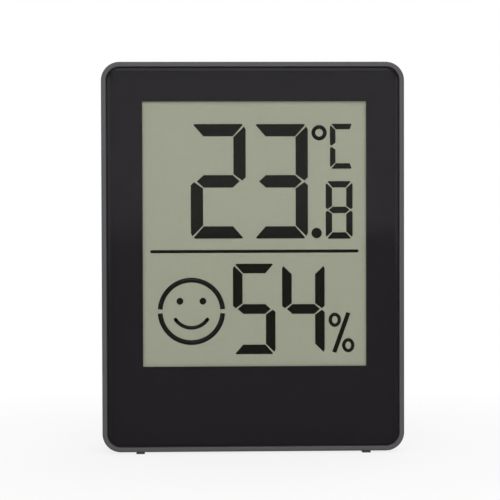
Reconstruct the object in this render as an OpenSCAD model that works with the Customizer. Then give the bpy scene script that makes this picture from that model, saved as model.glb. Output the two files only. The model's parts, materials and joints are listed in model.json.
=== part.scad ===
// Digital thermo-hygrometer: a small LCD room sensor with a fold-out stand and a twist battery door.
// The front faces -Y, +Z is up, and the origin is on the table under the middle of the case.

/* [Case] */
// Width of the case
body_w = 45.8; // [41.2:0.2:60]
// Height of the case without its feet
body_h = 59; // [53:0.5:80]
// Depth of the case, front rim to back
body_d = 14; // [12.6:0.2:20]
// Radius of the four corners seen from the front
corner_r = 2.8; // [2.4:0.1:3.2]
// Thickness of the moulded walls
wall_t = 1.4; // [1.2:0.1:1.6]
// Radius round the edge of the back
back_round = 1.2; // [0.4:0.1:1.4]
// Depth of the front shell, rim to parting line
front_depth = 4.4; // [4.1:0.1:4.8]
// Gap that shows as the parting line between the shells
parting_gap = 0.15; // [0.1:0.05:0.3]
// Length of the lip inside the parting line
lip_l = 1.1; // [0.8:0.1:1.3]
// Thickness of that lip
lip_t = 0.6; // [0.4:0.1:0.8]
// Clearance between the shells where they overlap
shell_fit = 0.1; // [0.05:0.05:0.2]

/* [Feet] */
// Height of the feet
foot_h = 0.3; // [0.2:0.05:0.8]
// Width of a foot
foot_w = 1.27; // [1:0.01:2.5]
// Length of a foot, front to back
foot_l = 2.8; // [2:0.1:3.2]
// Distance of the feet from the sides of the case
foot_side = 5.75; // [4.4:0.05:12]

/* [Front window] */
// Width of the rim round the window
rim_w = 0.73; // [0.5:0.01:1]
// Radius of the rim's outer edge
rim_round = 0.25; // [0.1:0.01:0.3]
// Radius of the rim's edge beside the window
rim_inner_round = 0.1; // [0.05:0.01:0.2]
// Depth of the window's face behind the rim
window_inset = 0.1; // [0:0.05:0.3]
// Thickness of the clear window
window_t = 1.2; // [1:0.1:1.4]
// Gap round the window
window_gap = 0.1; // [0.05:0.05:0.2]
// Width of the bevel round the window's face
bevel_w = 0.55; // [0.3:0.05:0.9]
// Depth of that bevel
bevel_d = 0.22; // [0.1:0.02:0.4]
// Gap between the window and the mask film behind it
mask_gap = 0.02; // [0.01:0.01:0.05]
// Thickness of the printed mask film
mask_t = 0.08; // [0.05:0.01:0.2]
// Thickness of the tape ring
tape_t = 0.15; // [0.1:0.01:0.25]
// Width of the tape ring
tape_w = 2.6; // [1.5:0.1:3.6]
// Thickness of the plate that the window sits on
plate_t = 1; // [0.8:0.1:1.2]

/* [Display] */
// Distance of the view through the mask from the sides of the case
view_side = 5.93; // [5.4:0.01:8]
// Distance of the view below the top of the case
view_head = 5.93; // [5.5:0.01:9]
// Height of the view's lower edge above the case's underside
view_low = 12.86; // [11.7:0.01:14.1]
// Distance of the view to the right of the middle
view_x = 0.25; // [0:0.05:0.4]
// Reach of the opening in the plate past the view
opening_margin = 0.5; // [0.3:0.05:0.6]
// Thickness of the lip that the plate keeps in front of the glass
glass_lip = 0.3; // [0.25:0.01:0.4]
// Clearance between the polarizer and that opening
polarizer_fit = 0.1; // [0.05:0.01:0.2]
// Thickness of the front polarizer
polarizer_t = 0.2; // [0.15:0.01:0.3]
// Reach of the glass past the view
glass_margin = 1.2; // [1:0.05:1.3]
// Thickness of one pane
glass_t = 0.7; // [0.5:0.05:0.8]
// Height of the contact ledge on the front pane
ledge_h = 2.6; // [2.3:0.1:2.8]
// Thickness of the reflector
reflector_t = 0.25; // [0.2:0.01:0.35]
// Distance of the reflector's edge from the edge of the pane
reflector_inset = 0.3; // [0.1:0.05:0.6]
// Distance from the reflector to the board
lcd_to_board = 2; // [1.8:0.1:2.2]
// Length of the zebra strip
zebra_l = 26; // [18:0.5:34]
// Height of the zebra strip
zebra_h = 1.9; // [1.5:0.1:2.2]
// Length of the foam strip
cushion_l = 30; // [20:0.5:34]
// Height of the foam strip
cushion_h = 3; // [2:0.1:4]
// Distance of the foam strip below the top of the glass
cushion_drop = 1; // [0.9:0.1:3]
// Clearance round the glass
glass_fit = 0.2; // [0.1:0.05:0.3]
// Distance of the ribs and posts from the glass's rebate
rib_setback = 0.05; // [0.03:0.01:0.08]
// Thickness of the ribs that locate the glass
rib_t = 0.8; // [0.6:0.05:0.9]
// Height of those ribs
rib_h = 1.2; // [0.8:0.05:1.4]
// Length of the ribs above and below the glass
rib_l = 24; // [12:0.5:30]

/* [Board] */
// Thickness of the board
board_t = 1; // [0.8:0.1:1.2]
// Clearance round the board
board_clear = 0.4; // [0.2:0.05:0.5]
// Radius of a board screw's shank
board_screw_r = 0.55; // [0.4:0.05:0.6]
// Length of a board screw under its head
board_screw_l = 3.3; // [2.4:0.1:3.6]
// Radius of a board screw's head
board_head_r = 1.1; // [0.9:0.05:1.2]
// Height of a board screw's head
board_head_h = 0.7; // [0.5:0.05:0.8]
// Clearance of a shank in its hole
screw_fit = 0.02; // [0.01:0.01:0.05]
// Height of the lower board screws above the case's underside
low_post_z = 5.7; // [5:0.1:6.2]
// Distance of the lower board screws from the sides of the case
low_post_side = 6.9; // [5.4:0.1:7]
// Distance of the upper board screws below the top of the case
high_post_drop = 17; // [13:0.5:21]

/* [Parts on the board] */
// Radius of the epoxy drop over the controller
blob_r = 4.2; // [3:0.1:5]
// Height of that drop
blob_h = 1; // [0.6:0.05:1.1]
// Height of the drop's centre above the case's underside
blob_z = 16.2; // [15.8:0.1:17]
// Radius of the crystal's can
crystal_r = 0.95; // [0.7:0.05:1.2]
// Length of the crystal's can
crystal_l = 6; // [5:0.1:7]
// Height of the crystal above the case's underside
crystal_z = 7.7; // [7:0.1:8.2]
// Length of a chip resistor
chip_l = 1.6; // [1:0.1:2]
// Width of a chip resistor
chip_w = 0.8; // [0.5:0.05:1]
// Height of a chip resistor
chip_h = 0.5; // [0.4:0.05:0.7]
// Distance between chip parts
chip_pitch = 2.6; // [2.2:0.1:3]
// Height of the chip parts above the case's underside
chip_z = 9.7; // [9.3:0.1:10]
// Number of chip parts in the row
chip_count = 6; // [3:1:7]
// Width of the humidity element's cage
cage_w = 6.6; // [5:0.1:7.4]
// Height of the cage
cage_h = 4; // [3:0.1:4.2]
// Depth of the cage
cage_d = 3; // [2:0.1:3.4]
// Number of slots in the cage
cage_slots = 4; // [2:1:5]
// Gap between the cage and the thermistor
sensor_gap = 0.4; // [0.3:0.05:0.6]
// Radius of the thermistor's bead
bead_r = 0.9; // [0.6:0.05:1.2]
// Radius of a thermistor lead
lead_r = 0.22; // [0.15:0.01:0.3]
// Distance between its leads
lead_pitch = 1; // [0.8:0.05:1.2]
// Height of the bead over the board
bead_up = 2.6; // [1.6:0.1:3.2]

/* [Unit button] */
// Distance of the button below the top of the case
button_drop = 8.4; // [8:0.1:8.8]
// Radius of the button's face
button_r = 2.2; // [1.6:0.05:2.4]
// Running clearance round the button
button_fit = 0.1; // [0.08:0.01:0.15]
// Depth of the button's face below the back
button_inset = 0.25; // [0:0.05:0.4]
// Reach of the button's flange past its face
button_lip = 0.8; // [0.5:0.05:0.9]
// Thickness of that flange
flange_t = 0.8; // [0.6:0.05:1]
// Clearance of the flange at rest
flange_clear = 0.1; // [0.05:0.01:0.15]
// Radius of the post that presses the switch
press_r = 0.9; // [0.6:0.05:1]
// Travel of the button
button_travel = 0.3; // [0.2:0.05:0.4]
// Side of the switch's square body
switch_w = 4.5; // [4:0.1:5]
// Height of the switch's body
switch_h = 2; // [1.6:0.1:2.2]
// Radius of the switch's stem
stem_r = 1.1; // [0.8:0.05:1.3]
// Reach of the stem out of the switch
stem_up = 0.9; // [0.6:0.05:1]
// Running clearance of the stem
stem_fit = 0.06; // [0.05:0.01:0.1]

/* [Coin cell] */
// Radius of the cell
cell_r = 10; // [8:0.1:11]
// Thickness of the cell
cell_t = 3.2; // [2.5:0.1:3.6]
// Step from the can's radius to that of its negative cap
cap_step = 1.3; // [1:0.1:2]
// Height of that cap
cap_h = 0.25; // [0.15:0.05:0.4]
// Radius of the can's edge
cell_round = 0.4; // [0.2:0.05:0.5]
// Clearance round the cell
cell_fit = 0.35; // [0.25:0.05:0.5]
// Clearance between the cell and the door
cell_head = 0.15; // [0.1:0.05:0.3]
// Thickness of the battery bay's wall
bay_wall = 1.1; // [0.8:0.05:1.2]
// Thickness of the battery bay's floor
bay_floor = 0.9; // [0.7:0.05:1]
// Thickness of the contact leaves
leaf_t = 0.2; // [0.15:0.01:0.3]
// Width of the contact leaves
leaf_w = 4; // [3:0.1:5]
// Gap between the positive leaf and the can
leaf_gap = 0.02; // [0.01:0.01:0.05]
// Length of a leaf's foot on the board
leaf_foot = 2.4; // [1.5:0.1:3]
// Length of the sprung rise of the negative leaf
leaf_run = 2.8; // [2:0.1:3]
// Length of the negative leaf's tip under the cap
leaf_tip = 2; // [1:0.1:2.4]
// Clearance between the leaves and the bay
leaf_clear = 0.6; // [0.4:0.05:1]

/* [Battery door] */
// Distance of the battery bay below the keyhole's room
bay_drop = 0.3; // [0:0.1:2]
// Reach of the door's face past the cell
door_reach = 1; // [0.8:0.05:1.4]
// Thickness of the door
door_t = 1.5; // [1.4:0.05:1.7]
// Depth of the door's face below the back
door_inset = 0.1; // [0.05:0.05:0.2]
// Running clearance of the door
door_fit = 0.1; // [0.05:0.01:0.15]
// Reach of the lugs past the door's face
lug_reach = 0.95; // [0.7:0.05:1]
// Thickness of the lugs
lug_t = 0.65; // [0.5:0.05:0.7]
// Angle that one lug spans
lug_angle = 26; // [18:1:30]
// Turn from locked to open
door_turn = 40; // [35:1:45]
// Spare angle at the ends of a lug's channel
lug_spare = 1.5; // [1:0.1:3]
// Wall outside the lugs' channel
channel_wall = 0.9; // [0.7:0.05:1]
// Length of the coin slot
coin_l = 12; // [8:0.5:16]
// Width of the coin slot
coin_w = 1.7; // [1.4:0.1:2.2]
// Depth of the coin slot
coin_d = 0.8; // [0.5:0.05:0.9]

/* [Stand] */
// Width of the stand
stand_w = 38.4; // [38:0.1:39]
// Width of one leg
leg_w = 4; // [3.4:0.1:4.1]
// Thickness of the stand
stand_t = 1.8; // [1.6:0.05:2]
// Height of the stand's cross bar
bar_h = 5.6; // [4:0.1:6]
// Depth of the stand's face below the back
stand_inset = 0.2; // [0.1:0.05:0.3]
// Clearance round the stand in its recess
stand_fit = 0.25; // [0.2:0.05:0.3]
// Distance of the stand's hinge below the top of the case
hinge_drop = 11.3; // [11:0.1:13]
// Reach of the heel past the hinge
heel_h = 0.9; // [0.7:0.05:0.95]
// Angle of the open stand
stand_open = 30; // [22:1:35]
// Clearance of the heel at the open stop
heel_clear = 0.05; // [0.03:0.01:0.1]
// Radius of the hinge pins
pin_r = 0.6; // [0.5:0.05:0.65]
// Length of the hinge pins
pin_l = 1.1; // [0.9:0.05:1.2]
// Running clearance of the pins
pin_fit = 0.06; // [0.04:0.01:0.1]
// Thickness of the recess's walls
recess_wall = 1; // [0.8:0.05:1.1]
// Radius of the thumb notch in the cross bar
notch_r = 4.5; // [3:0.1:6]
// Depth of the thumb notch
notch_d = 1.6; // [0.8:0.1:2.4]

/* [Back fittings] */
// Radius of the keyhole's entry
keyhole_r = 3.1; // [2.8:0.05:3.2]
// Distance of the entry's centre below the top of the case
keyhole_drop = 8.1; // [7.9:0.1:8.2]
// Half width of the keyhole's slot
slot_r = 1.6; // [1.2:0.05:1.8]
// Rise of the slot above the entry's centre
slot_rise = 3.8; // [3.4:0.1:4.2]
// Room for a screw's head behind the keyhole
head_room = 2.6; // [2:0.1:3]
// Clearance round that head
head_clear = 0.3; // [0.2:0.05:0.4]
// Thickness of the walls round that room
pocket_wall = 0.8; // [0.6:0.05:0.9]
// Radius of a magnet
magnet_r = 4; // [3:0.1:4.4]
// Thickness of a magnet
magnet_t = 1.2; // [1:0.05:1.5]
// Distance of the magnets from the middle
magnet_x = 7; // [5.5:0.1:7.8]
// Distance of the magnets above the wall of the stand's recess
magnet_rise = 0.5; // [0.3:0.1:0.7]
// Depth of a magnet's face below the back
magnet_inset = 0.1; // [0:0.05:0.2]
// Clearance round a magnet
magnet_fit = 0.08; // [0.05:0.01:0.15]
// Width of a vent slot
vent_w = 0.9; // [0.6:0.05:1.1]
// Length of a vent slot
vent_l = 5.4; // [4:0.1:5.6]
// Distance between vent slots
vent_pitch = 1.9; // [1.6:0.05:2]
// Number of vent slots
vent_count = 4; // [2:1:4]
// Distance of the vents below the top of the case
vent_drop = 8.2; // [8:0.1:8.6]

/* [Case screws and hooks] */
// Radius of the front shell's screw posts
boss_r = 1.55; // [1.4:0.05:1.6]
// Thickness of the rear shell's screw posts round the heads
head_wall = 0.4; // [0.3:0.05:0.6]
// Radius of a case screw's shank
case_screw_r = 0.8; // [0.6:0.05:0.9]
// Radius of a case screw's head
case_head_r = 1.5; // [1.3:0.05:1.6]
// Height of a case screw's head
case_head_h = 1; // [0.8:0.05:1.2]
// Depth of a case screw's head below the back
case_head_inset = 0.5; // [0.3:0.05:0.8]
// Clearance round that head
case_head_fit = 0.12; // [0.1:0.01:0.15]
// Depth of a case screw in the front shell's post
case_screw_grip = 3; // [2:0.1:3.4]
// Height where the posts of the two shells meet, behind the board
post_meet = 0.6; // [0.4:0.1:1]
// Distance of the bottom hooks from the middle
hook_x = 9; // [7:0.5:11]
// Width of a bottom hook
hook_w = 5; // [4:0.1:6]
// Thickness of a bottom hook
hook_t = 0.9; // [0.7:0.05:1]
// Reach of a hook's barb
barb_h = 0.6; // [0.4:0.05:0.7]
// Length of a hook's barb
barb_l = 1.2; // [0.8:0.1:1.6]
// Distance of the barb behind the parting line
barb_back = 2; // [1.6:0.1:2.4]

/* [Hidden] */
$fn = 48;
EPS = 0.02;
ARC_STEPS = 6;
SIDES = [-1, 1];

// Screw heads: recess span, width and depth, rim height and flat, as parts of the head's radius or height
CROSS_SPAN = 1.2;
CROSS_WIDTH = 0.3;
CROSS_DEPTH = 0.6;
HEAD_RIM = 0.5;
HEAD_FLAT = 0.75;

case_color = "#55565a";
window_color = "#9aa0a4";
mask_color = "#1b1b1d";
film_color = "#9a9d8b";
glass_color = "#b9c4bd";
board_color = "#2d6a43";
metal_color = "#b9babc";
epoxy_color = "#17181a";
rubber_color = "#2b2b2d";
white_color = "#e4e4de";
ceramic_color = "#8d7a63";

// Planes from front to back
front_y = -body_d / 2;
back_y = body_d / 2;
window_y = front_y + window_inset;
window_back_y = window_y + window_t;
mask_y = window_back_y + mask_gap;
tape_y = mask_y + mask_t;
seat_y = tape_y + tape_t;
plate_y = seat_y + plate_t;
glass_y = seat_y + glass_lip;
polarizer_y = glass_y - polarizer_t;
rear_glass_y = glass_y + glass_t;
reflector_y = rear_glass_y + glass_t;
lcd_back_y = reflector_y + reflector_t;
board_y = lcd_back_y + lcd_to_board;
parts_y = board_y + board_t;
split_y = front_y + front_depth;
rear_split_y = split_y + parting_gap;
inner_back_y = back_y - wall_t;

// Planes from the underside up
base_z = foot_h;
top_z = base_z + body_h;
mid_z = base_z + body_h / 2;
inner_w = body_w - 2 * wall_t;
inner_low_z = base_z + wall_t;
inner_top_z = top_z - wall_t;
foot_x = body_w / 2 - foot_side;

// Window
pocket_r = corner_r - rim_w;
window_w = body_w - 2 * rim_w - 2 * window_gap;
window_h = body_h - 2 * rim_w - 2 * window_gap;
window_r = pocket_r - window_gap;

// Display
view_w = body_w - 2 * view_side;
view_z = base_z + view_low;
view_top_z = top_z - view_head;
view_h = view_top_z - view_z;
view_mid_z = view_z + view_h / 2;
opening_w = view_w + 2 * opening_margin;
opening_h = view_h + 2 * opening_margin;
polarizer_w = opening_w - 2 * polarizer_fit;
polarizer_h = opening_h - 2 * polarizer_fit;
glass_w = view_w + 2 * glass_margin;
glass_h = view_h + 2 * glass_margin;
glass_low_z = view_z - glass_margin;
glass_top_z = glass_low_z + glass_h;
ledge_low_z = glass_low_z - ledge_h;
rib_clear = glass_fit + rib_setback;

// Case screws and hooks
screw_x = inner_w / 2 - shell_fit - boss_r;
screw_z = inner_top_z - shell_fit - boss_r;
head_hole_r = case_head_r + case_head_fit;
meet_y = parts_y + post_meet;
head_y = back_y - case_head_inset;
hook_z = inner_low_z + shell_fit;
barb_y = split_y + barb_back;

// Board, whose posts fill the strip between the glass and the side walls
board_w = inner_w - 2 * board_clear;
board_low_z = hook_z + hook_t + board_clear;
board_top_z = screw_z - boss_r - board_clear;
post_strip = inner_w / 2 - glass_w / 2 - view_x;
post_r = post_strip / 2 - rib_clear;
low_post_x = body_w / 2 - low_post_side;
high_post_x = inner_w / 2 - post_strip / 2;
high_post_z = top_z - high_post_drop;
POSTS = [
    for (s = SIDES) [s * low_post_x, base_z + low_post_z],
    for (s = SIDES) [s * high_post_x, high_post_z]
];

// Keyhole and the room behind it
keyhole_z = top_z - keyhole_drop;
pocket_half = keyhole_r + head_clear;
pocket_outer = pocket_half + pocket_wall;
pocket_y = inner_back_y - head_room;

// Battery bay and door, from the back inwards
cap_r = cell_r - cap_step;
door_r = cell_r + door_reach;
door_face_y = back_y - door_inset;
door_y = door_face_y - door_t;
lug_y = door_y + lug_t;
lip_y = lug_y + door_fit;
channel_y = door_y - door_fit;
cell_back_y = door_y - cell_head;
cell_y = cell_back_y - cell_t;
bay_y = cell_y - bay_floor;
bay_r = cell_r + cell_fit;
leaf_half = leaf_w / 2 + leaf_clear;
lug_r = door_r + lug_reach;
channel_r = lug_r + door_fit;
mouth_r = door_r + door_fit;
flange_r = channel_r + channel_wall;
door_mid_z = keyhole_z - pocket_outer - bay_drop - flange_r;
LUG_COUNT = 3;
LUGS = [for (k = [0 : LUG_COUNT - 1]) 90 + 360 * k / LUG_COUNT];

// Stand
hinge_z = top_z - hinge_drop;
stand_y = back_y - stand_inset;
hinge_y = stand_y - stand_t / 2;
leg_x = stand_w / 2 - leg_w / 2;
bar_z = base_z + stand_fit;
heel_depth = stand_t / 2 * cos(stand_open) + heel_h * sin(stand_open);
recess_y = hinge_y - heel_depth - heel_clear;
recess_half = leg_w / 2 + stand_fit;
recess_top_z = hinge_z + heel_h + stand_fit;
bar_top_z = bar_z + bar_h;
recess_in_x = leg_x - recess_half - recess_wall;

// Magnets, above the stand's cross bar
magnet_y = back_y - magnet_inset - magnet_t;
magnet_hole_r = magnet_r + magnet_fit;
magnet_mid_z = bar_top_z + stand_fit + recess_wall + magnet_rise + magnet_hole_r;

// Unit button, midway between the keyhole's room and one leg of the stand
button_x = (pocket_outer + recess_in_x) / 2;
button_z = top_z - button_drop;
button_face_y = back_y - button_inset;
flange_y = inner_back_y - flange_clear - flange_t;
switch_y = parts_y + switch_h;
stem_y = switch_y + stem_up;
stem_low_y = switch_y - button_travel - stem_up;

// Vents, opposite the button, with the humidity cage and the thermistor behind them
vent_x = -button_x;
vent_z = top_z - vent_drop;
cage_low_z = vent_z - (cage_h + sensor_gap + 2 * bead_r) / 2;
cage_top_z = cage_low_z + cage_h;
bead_z = cage_top_z + sensor_gap + bead_r;

// A point of a swept profile: u outwards from the corner's axis, y in depth
function at(u, y) = [u, -y];

// Points of an arc in a swept profile
function arc_at(u, y, r, from, to) =
    [for (i = [0 : ARC_STEPS]) let (a = from + (to - from) * i / ARC_STEPS)
        at(u + r * cos(a), y + r * sin(a))];

// Extrudes a shape drawn in X and Z from depth y0 to depth y1
module slab(y0, y1) {
    translate([0, y1, 0]) rotate([90, 0, 0]) linear_extrude(y1 - y0) children();
}

// Rectangle in X and Z, centred on x, from z0 to z1
module plate(w, z0, z1, x = 0) {
    translate([x - w / 2, z0]) square([w, z1 - z0]);
}

// Disc in X and Z
module disc(r, x, z) {
    translate([x, z]) circle(r);
}

// Sweeps a profile round a rounded rectangle and fills the middle from depth y0 to depth y1
module swept_panel(w, h, r, y0, y1) {
    a = w / 2 - r;
    b = h / 2 - r;
    translate([0, 0, mid_z]) rotate([90, 0, 0]) {
        for (k = [0 : 3]) {
            along = k % 2 == 0 ? a : b;
            across = k % 2 == 0 ? b : a;
            rotate(90 * k) translate([along, across, 0]) {
                rotate_extrude(angle = 90) children();
                rotate([90, 0, 0]) linear_extrude(2 * across) children();
            }
        }
        translate([-a, -b, -y1]) cube([2 * a, 2 * b, y1 - y0]);
    }
}

// A part of a ring about the door's axis, from angle a0 over angle span
module door_arc(r0, r1, y0, y1, a0, span) {
    translate([0, y1, door_mid_z]) rotate([90, 0, 0]) rotate(a0)
        rotate_extrude(angle = span) translate([r0, 0]) square([r1 - r0, y1 - y0]);
}

// A round bar across the case, from x0 to x1
module cross_pin(r, x0, x1, y, z) {
    translate([x0, y, z]) rotate([0, 90, 0]) cylinder(r = r, h = x1 - x0);
}

// Front shell: rim, window seat with the glass's rebate, posts, glass ribs, hooks and the front feet
module front_frame() {
    color(case_color) difference() {
        union() {
            swept_panel(body_w, body_h, corner_r, seat_y, plate_y) polygon(concat(
                arc_at(pocket_r + rim_inner_round, front_y + rim_inner_round, rim_inner_round, 180, 270),
                arc_at(corner_r - rim_round, front_y + rim_round, rim_round, -90, 0),
                [
                    at(corner_r, split_y),
                    at(corner_r - wall_t + lip_t + shell_fit, split_y),
                    at(corner_r - wall_t + lip_t + shell_fit, split_y - lip_l - shell_fit),
                    at(corner_r - wall_t, split_y - lip_l - shell_fit),
                    at(corner_r - wall_t, plate_y),
                    at(0, plate_y),
                    at(0, seat_y),
                    at(pocket_r, seat_y)
                ]
            ));
            for (p = POSTS) slab(plate_y - EPS, board_y) disc(post_r, p.x, p.y);
            for (s = SIDES) {
                slab(plate_y - EPS, meet_y) disc(boss_r, s * screw_x, screw_z);
                slab(plate_y - EPS, plate_y + rib_h)
                    plate(rib_t, view_z, high_post_z - 2 * post_r,
                        view_x + s * (glass_w / 2 + rib_clear + rib_t / 2));
                bottom_hook(s * hook_x);
                foot(s * foot_x, front_y + rim_round + EPS);
            }
            slab(plate_y - EPS, plate_y + rib_h)
                plate(rib_l, ledge_low_z - rib_clear - rib_t, ledge_low_z - rib_clear, view_x);
            slab(plate_y - EPS, plate_y + rib_h)
                plate(rib_l, glass_top_z + rib_clear, glass_top_z + rib_clear + rib_t, view_x);
        }
        slab(seat_y - EPS, glass_y + EPS)
            plate(opening_w, view_mid_z - opening_h / 2, view_mid_z + opening_h / 2, view_x);
        slab(glass_y, plate_y + EPS)
            plate(glass_w + 2 * glass_fit, ledge_low_z - glass_fit, glass_top_z + glass_fit, view_x);
        for (p = POSTS) slab(plate_y - plate_t / 2, board_y + EPS) disc(board_screw_r + screw_fit, p.x, p.y);
        for (s = SIDES)
            slab(meet_y - case_screw_grip - screw_fit, meet_y + EPS)
                disc(case_screw_r + screw_fit, s * screw_x, screw_z);
    }
}

// Tongue along the inside of the bottom wall, with a barb that catches in the rear shell
module bottom_hook(x) {
    tongue_l = barb_y + barb_l - plate_y + EPS;
    translate([x - hook_w / 2, plate_y - EPS, hook_z]) cube([hook_w, tongue_l, hook_t]);
    translate([x - hook_w / 2, barb_y, hook_z - barb_h]) cube([hook_w, barb_l, barb_h + EPS]);
}

// Low foot under the case, starting at depth y
module foot(x, y) {
    translate([x - foot_w / 2, y, 0]) cube([foot_w, foot_l, foot_h + wall_t / 2]);
}

// Clear window with its bevelled face
module front_window() {
    color(window_color, 0.5) swept_panel(window_w, window_h, window_r, window_y, window_back_y) polygon([
        at(0, window_y),
        at(window_r - bevel_w, window_y),
        at(window_r, window_y + bevel_d),
        at(window_r, window_back_y),
        at(0, window_back_y)
    ]);
}

// Printed film behind the window, open over the view
module window_mask() {
    color(mask_color) difference() {
        swept_panel(window_w, window_h, window_r, mask_y, tape_y)
            polygon([at(0, mask_y), at(window_r, mask_y), at(window_r, tape_y), at(0, tape_y)]);
        slab(mask_y - EPS, tape_y + EPS) plate(view_w, view_z, view_top_z, view_x);
    }
}

// Tape ring between the film and its seat
module window_tape() {
    color(white_color, 0.8) difference() {
        swept_panel(window_w, window_h, window_r, tape_y, seat_y)
            polygon([at(0, tape_y), at(window_r, tape_y), at(window_r, seat_y), at(0, seat_y)]);
        slab(tape_y - EPS, seat_y + EPS)
            plate(window_w - 2 * tape_w, mid_z - window_h / 2 + tape_w, mid_z + window_h / 2 - tape_w);
    }
}

module lcd_front_polarizer() {
    color(film_color) slab(polarizer_y, glass_y)
        plate(polarizer_w, view_mid_z - polarizer_h / 2, view_mid_z + polarizer_h / 2, view_x);
}

// Front pane, longer than the rear one by the contact ledge
module lcd_front_glass() {
    color(glass_color, 0.6) slab(glass_y, rear_glass_y) plate(glass_w, ledge_low_z, glass_top_z, view_x);
}

module lcd_rear_glass() {
    color(glass_color, 0.6) slab(rear_glass_y, reflector_y) plate(glass_w, glass_low_z, glass_top_z, view_x);
}

module lcd_reflector() {
    film_w = glass_w - 2 * reflector_inset;
    color(film_color) slab(reflector_y, lcd_back_y)
        plate(film_w, glass_low_z + reflector_inset, glass_top_z - reflector_inset, view_x);
}

// Striped rubber strip between the contact ledge and the board
module zebra_connector() {
    zebra_mid_z = ledge_low_z + ledge_h / 2;
    color(rubber_color) slab(rear_glass_y, board_y)
        plate(zebra_l, zebra_mid_z - zebra_h / 2, zebra_mid_z + zebra_h / 2, view_x);
}

// Foam strip that presses the upper end of the display forwards
module lcd_cushion() {
    cushion_top_z = glass_top_z - cushion_drop;
    color(rubber_color) slab(lcd_back_y, board_y)
        plate(cushion_l, cushion_top_z - cushion_h, cushion_top_z, view_x);
}

module circuit_board() {
    color(board_color) difference() {
        slab(board_y, parts_y) plate(board_w, board_low_z, board_top_z);
        for (p = POSTS) slab(board_y - EPS, parts_y + EPS) disc(board_screw_r + screw_fit, p.x, p.y);
    }
}

// Pan head screw with a cross recess, driven forwards from depth y
module pan_screw(x, y, z, shank_r, shank_l, head_r, head_h) {
    cross_l = head_r * CROSS_SPAN;
    cross_w = head_r * CROSS_WIDTH;
    cross_d = head_h * CROSS_DEPTH;
    rim_h = head_h * HEAD_RIM;
    flat_r = head_r * HEAD_FLAT;
    difference() {
        union() {
            slab(y - shank_l, y + EPS) disc(shank_r, x, z);
            translate([x, y, z]) rotate([-90, 0, 0]) rotate_extrude()
                polygon([[0, 0], [head_r, 0], [head_r, rim_h], [flat_r, head_h], [0, head_h]]);
        }
        slab(y + head_h - cross_d, y + head_h + EPS) translate([x, z]) {
            square([cross_l, cross_w], center = true);
            square([cross_w, cross_l], center = true);
        }
    }
}

module board_screws() {
    color(metal_color) for (p = POSTS)
        pan_screw(p.x, parts_y, p.y, board_screw_r, board_screw_l, board_head_r, board_head_h);
}

// Controller under a flat drop of epoxy
module controller_blob() {
    dome = [for (i = [0 : ARC_STEPS]) let (a = 90 * i / ARC_STEPS) [blob_r * cos(a), blob_h * sin(a)]];
    color(epoxy_color) translate([0, parts_y, base_z + blob_z]) rotate([-90, 0, 0]) rotate_extrude()
        polygon(concat([[0, 0]], dome));
}

// Crystal can lying on the lower end of the board
module clock_crystal() {
    color(metal_color)
        cross_pin(crystal_r, -crystal_l / 2, crystal_l / 2, parts_y + crystal_r, base_z + crystal_z);
}

// Row of chip resistors and capacitors above the crystal
module chip_components() {
    row_z = base_z + chip_z;
    for (i = [0 : chip_count - 1])
        color(i % 2 == 0 ? ceramic_color : epoxy_color) slab(parts_y, parts_y + chip_h)
            plate(chip_w, row_z, row_z + chip_l, (i - (chip_count - 1) / 2) * chip_pitch);
}

// Humidity element in a cage, behind the vents
module humidity_sensor() {
    slot_w = cage_w / (2 * cage_slots + 1);
    color(white_color) difference() {
        slab(parts_y, parts_y + cage_d) plate(cage_w, cage_low_z, cage_top_z, vent_x);
        for (i = [0 : cage_slots - 1])
            slab(parts_y + cage_d / 2, parts_y + cage_d + EPS)
                plate(slot_w, cage_low_z + slot_w, cage_top_z - slot_w,
                    vent_x + (2 * i + 1 - cage_slots) * slot_w);
    }
}

// Thermistor bead on two leads, above the cage
module thermistor() {
    color(epoxy_color) {
        translate([vent_x, parts_y + bead_up, bead_z]) sphere(bead_r);
        for (s = SIDES) slab(parts_y, parts_y + bead_up) disc(lead_r, vent_x + s * lead_pitch / 2, bead_z);
    }
}

// Switch body with the well that its stem runs in
module tact_switch() {
    color(epoxy_color) difference() {
        slab(parts_y, switch_y) plate(switch_w, button_z - switch_w / 2, button_z + switch_w / 2, button_x);
        slab(stem_low_y - button_travel - stem_fit, switch_y + EPS)
            disc(stem_r + stem_fit, button_x, button_z);
    }
}

module switch_stem() {
    color(white_color) slab(stem_low_y, stem_y) disc(stem_r, button_x, button_z);
}

// Button with its retaining flange and the post that presses the switch
module unit_button() {
    color(case_color) {
        slab(flange_y, button_face_y) disc(button_r, button_x, button_z);
        slab(flange_y, flange_y + flange_t) disc(button_r + button_lip, button_x, button_z);
        slab(stem_y, flange_y + EPS) disc(press_r, button_x, button_z);
    }
}

// Coin cell with its negative cap to the front
module coin_cell() {
    color(metal_color) translate([0, cell_y, door_mid_z]) rotate([-90, 0, 0])
    rotate_extrude() polygon(concat(
        [[0, 0], [cap_r, 0], [cap_r, cap_h]],
        [for (i = [0 : ARC_STEPS]) let (a = -90 + 90 * i / ARC_STEPS)
            [cell_r - cell_round + cell_round * cos(a), cap_h + cell_round + cell_round * sin(a)]],
        [for (i = [0 : ARC_STEPS]) let (a = 90 * i / ARC_STEPS)
            [cell_r - cell_round + cell_round * cos(a), cell_t - cell_round + cell_round * sin(a)]],
        [[0, cell_t]]
    ));
}

// Leaf that stands on the board and lies against the can's side
module positive_contact() {
    leaf_x = cell_r + leaf_gap;
    color(metal_color) translate([0, 0, door_mid_z - leaf_w / 2]) linear_extrude(leaf_w) polygon([
        [leaf_x, parts_y],
        [leaf_x + leaf_foot, parts_y],
        [leaf_x + leaf_foot, parts_y + leaf_t],
        [leaf_x + leaf_t, parts_y + leaf_t],
        [leaf_x + leaf_t, cell_back_y - cell_round],
        [leaf_x, cell_back_y - cell_round]
    ]);
}

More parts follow.
